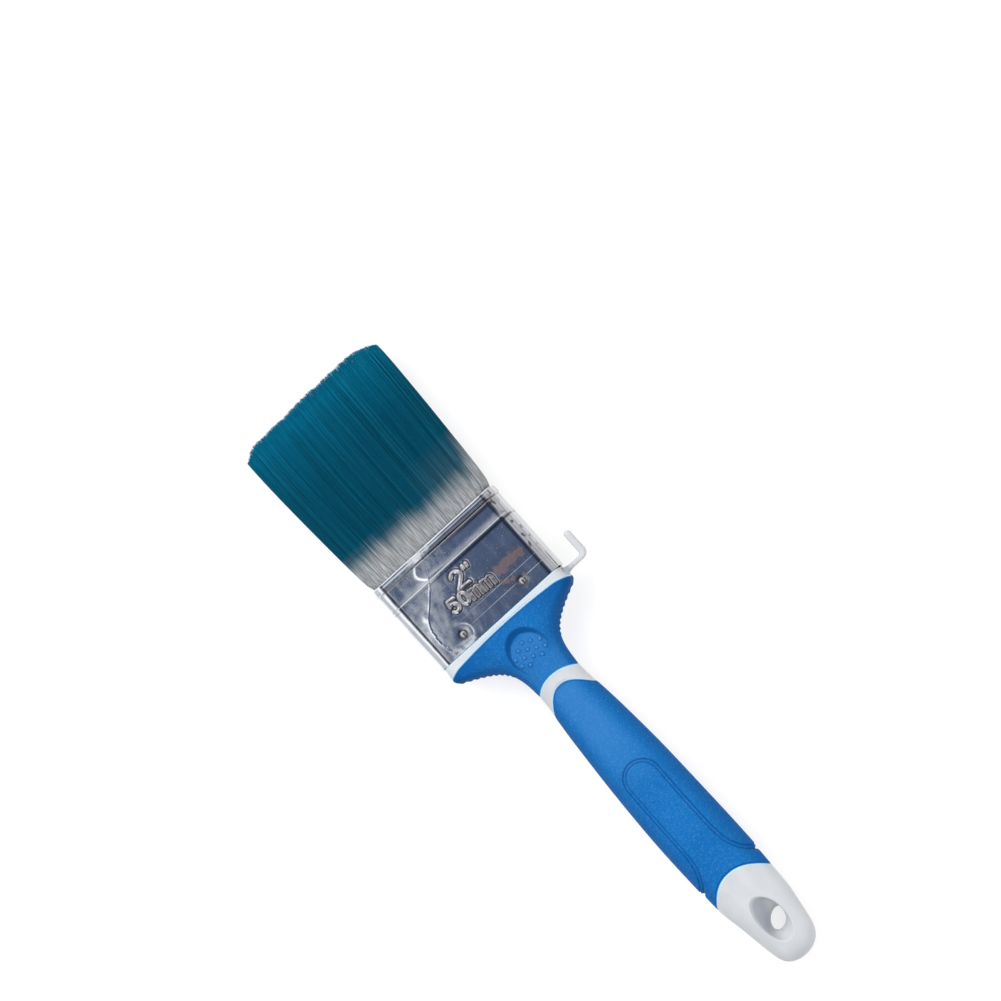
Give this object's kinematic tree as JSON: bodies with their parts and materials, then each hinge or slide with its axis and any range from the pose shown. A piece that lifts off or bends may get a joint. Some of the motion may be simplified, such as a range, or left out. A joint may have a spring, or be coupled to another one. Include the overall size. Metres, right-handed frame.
{
  "type": "flat paint brush",
  "caption": "Flat synthetic-filament paint brush with a plated ferrule, a soft-grip handle, a hanging hole and a side hook for the rim of a can.",
  "frame": {"origin": "centre of the ferrule's flat back face", "axes": "+Y from the handle to the bristle tips, +X to the can hook's side, +Z out of the front face; -Z is the mount's outward direction"},
  "size_m": [0.0667, 0.249, 0.0185],
  "materials": {
    "white_plastic": "off-white moulded polypropylene, satin",
    "blue_soft_grip": "blue soft-touch elastomer with a fine speckled texture",
    "plated_steel": "bright nickel-plated sheet steel, slightly rippled by pressing",
    "nail_steel": "plated steel nail heads",
    "filament": "tapered synthetic filaments, clear grey at the root and dyed petrol blue towards the tip",
    "spacer_strip": "plain strip, hidden",
    "resin": "cast resin, hidden"
  },
  "bodies": {
    "root": {"handle_core": "white_plastic", "shoulder_grip": "blue_soft_grip", "handle_grip": "blue_soft_grip", "ferrule": "plated_steel", "nail_front_left": "nail_steel", "nail_front_right": "nail_steel", "nail_back_left": "nail_steel", "nail_back_right": "nail_steel", "bristles_front": "filament", "bristles_middle": "filament", "bristles_back": "filament", "spacer_front": "spacer_strip", "spacer_back": "spacer_strip", "resin_set": "resin"}
  },
  "joints": []
}
